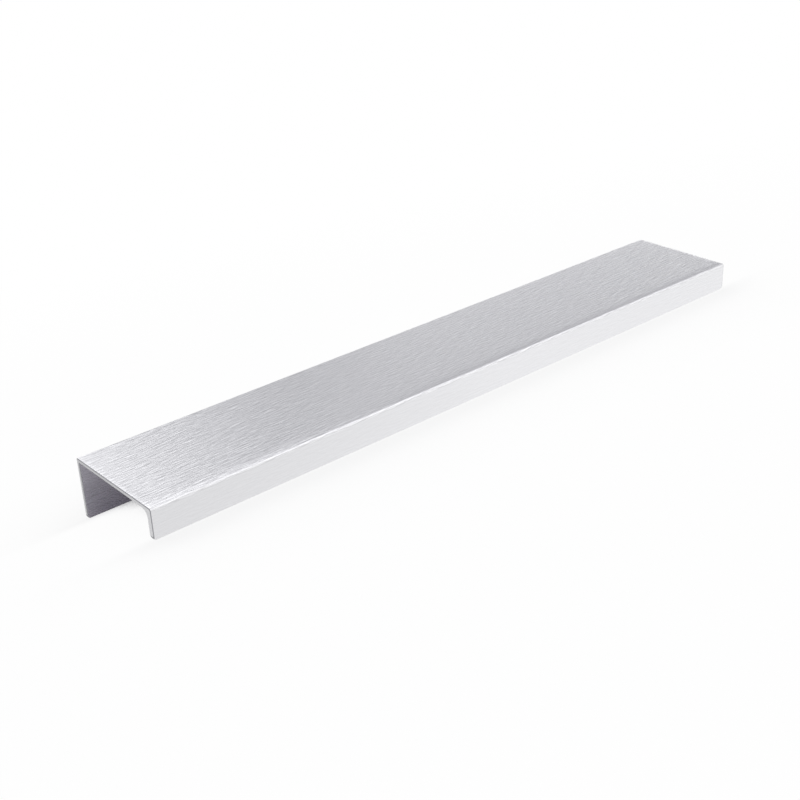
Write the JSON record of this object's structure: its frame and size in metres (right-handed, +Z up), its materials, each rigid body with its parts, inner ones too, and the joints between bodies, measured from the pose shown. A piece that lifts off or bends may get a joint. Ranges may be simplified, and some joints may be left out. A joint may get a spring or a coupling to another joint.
{
  "type": "finger pull profile",
  "caption": "Brushed aluminium edge pull of unequal channel section: a wide top plate, a long screw-on back leg and a short front lip that is gripped from below.",
  "frame": {"origin": "centre of the footprint, on the level floor that the profile stands on with the tips of its back leg and its lip", "axes": "+X along the length, -Y towards the lip, +Z up; the plate slopes down to the lip by 14.6 degrees, as the loose profile stands"},
  "size_m": [0.25, 0.0436, 0.0195],
  "materials": {
    "brushed_aluminium": "satin, brushed along the length"
  },
  "bodies": {
    "root": {"pull_profile": "brushed_aluminium"}
  },
  "joints": []
}
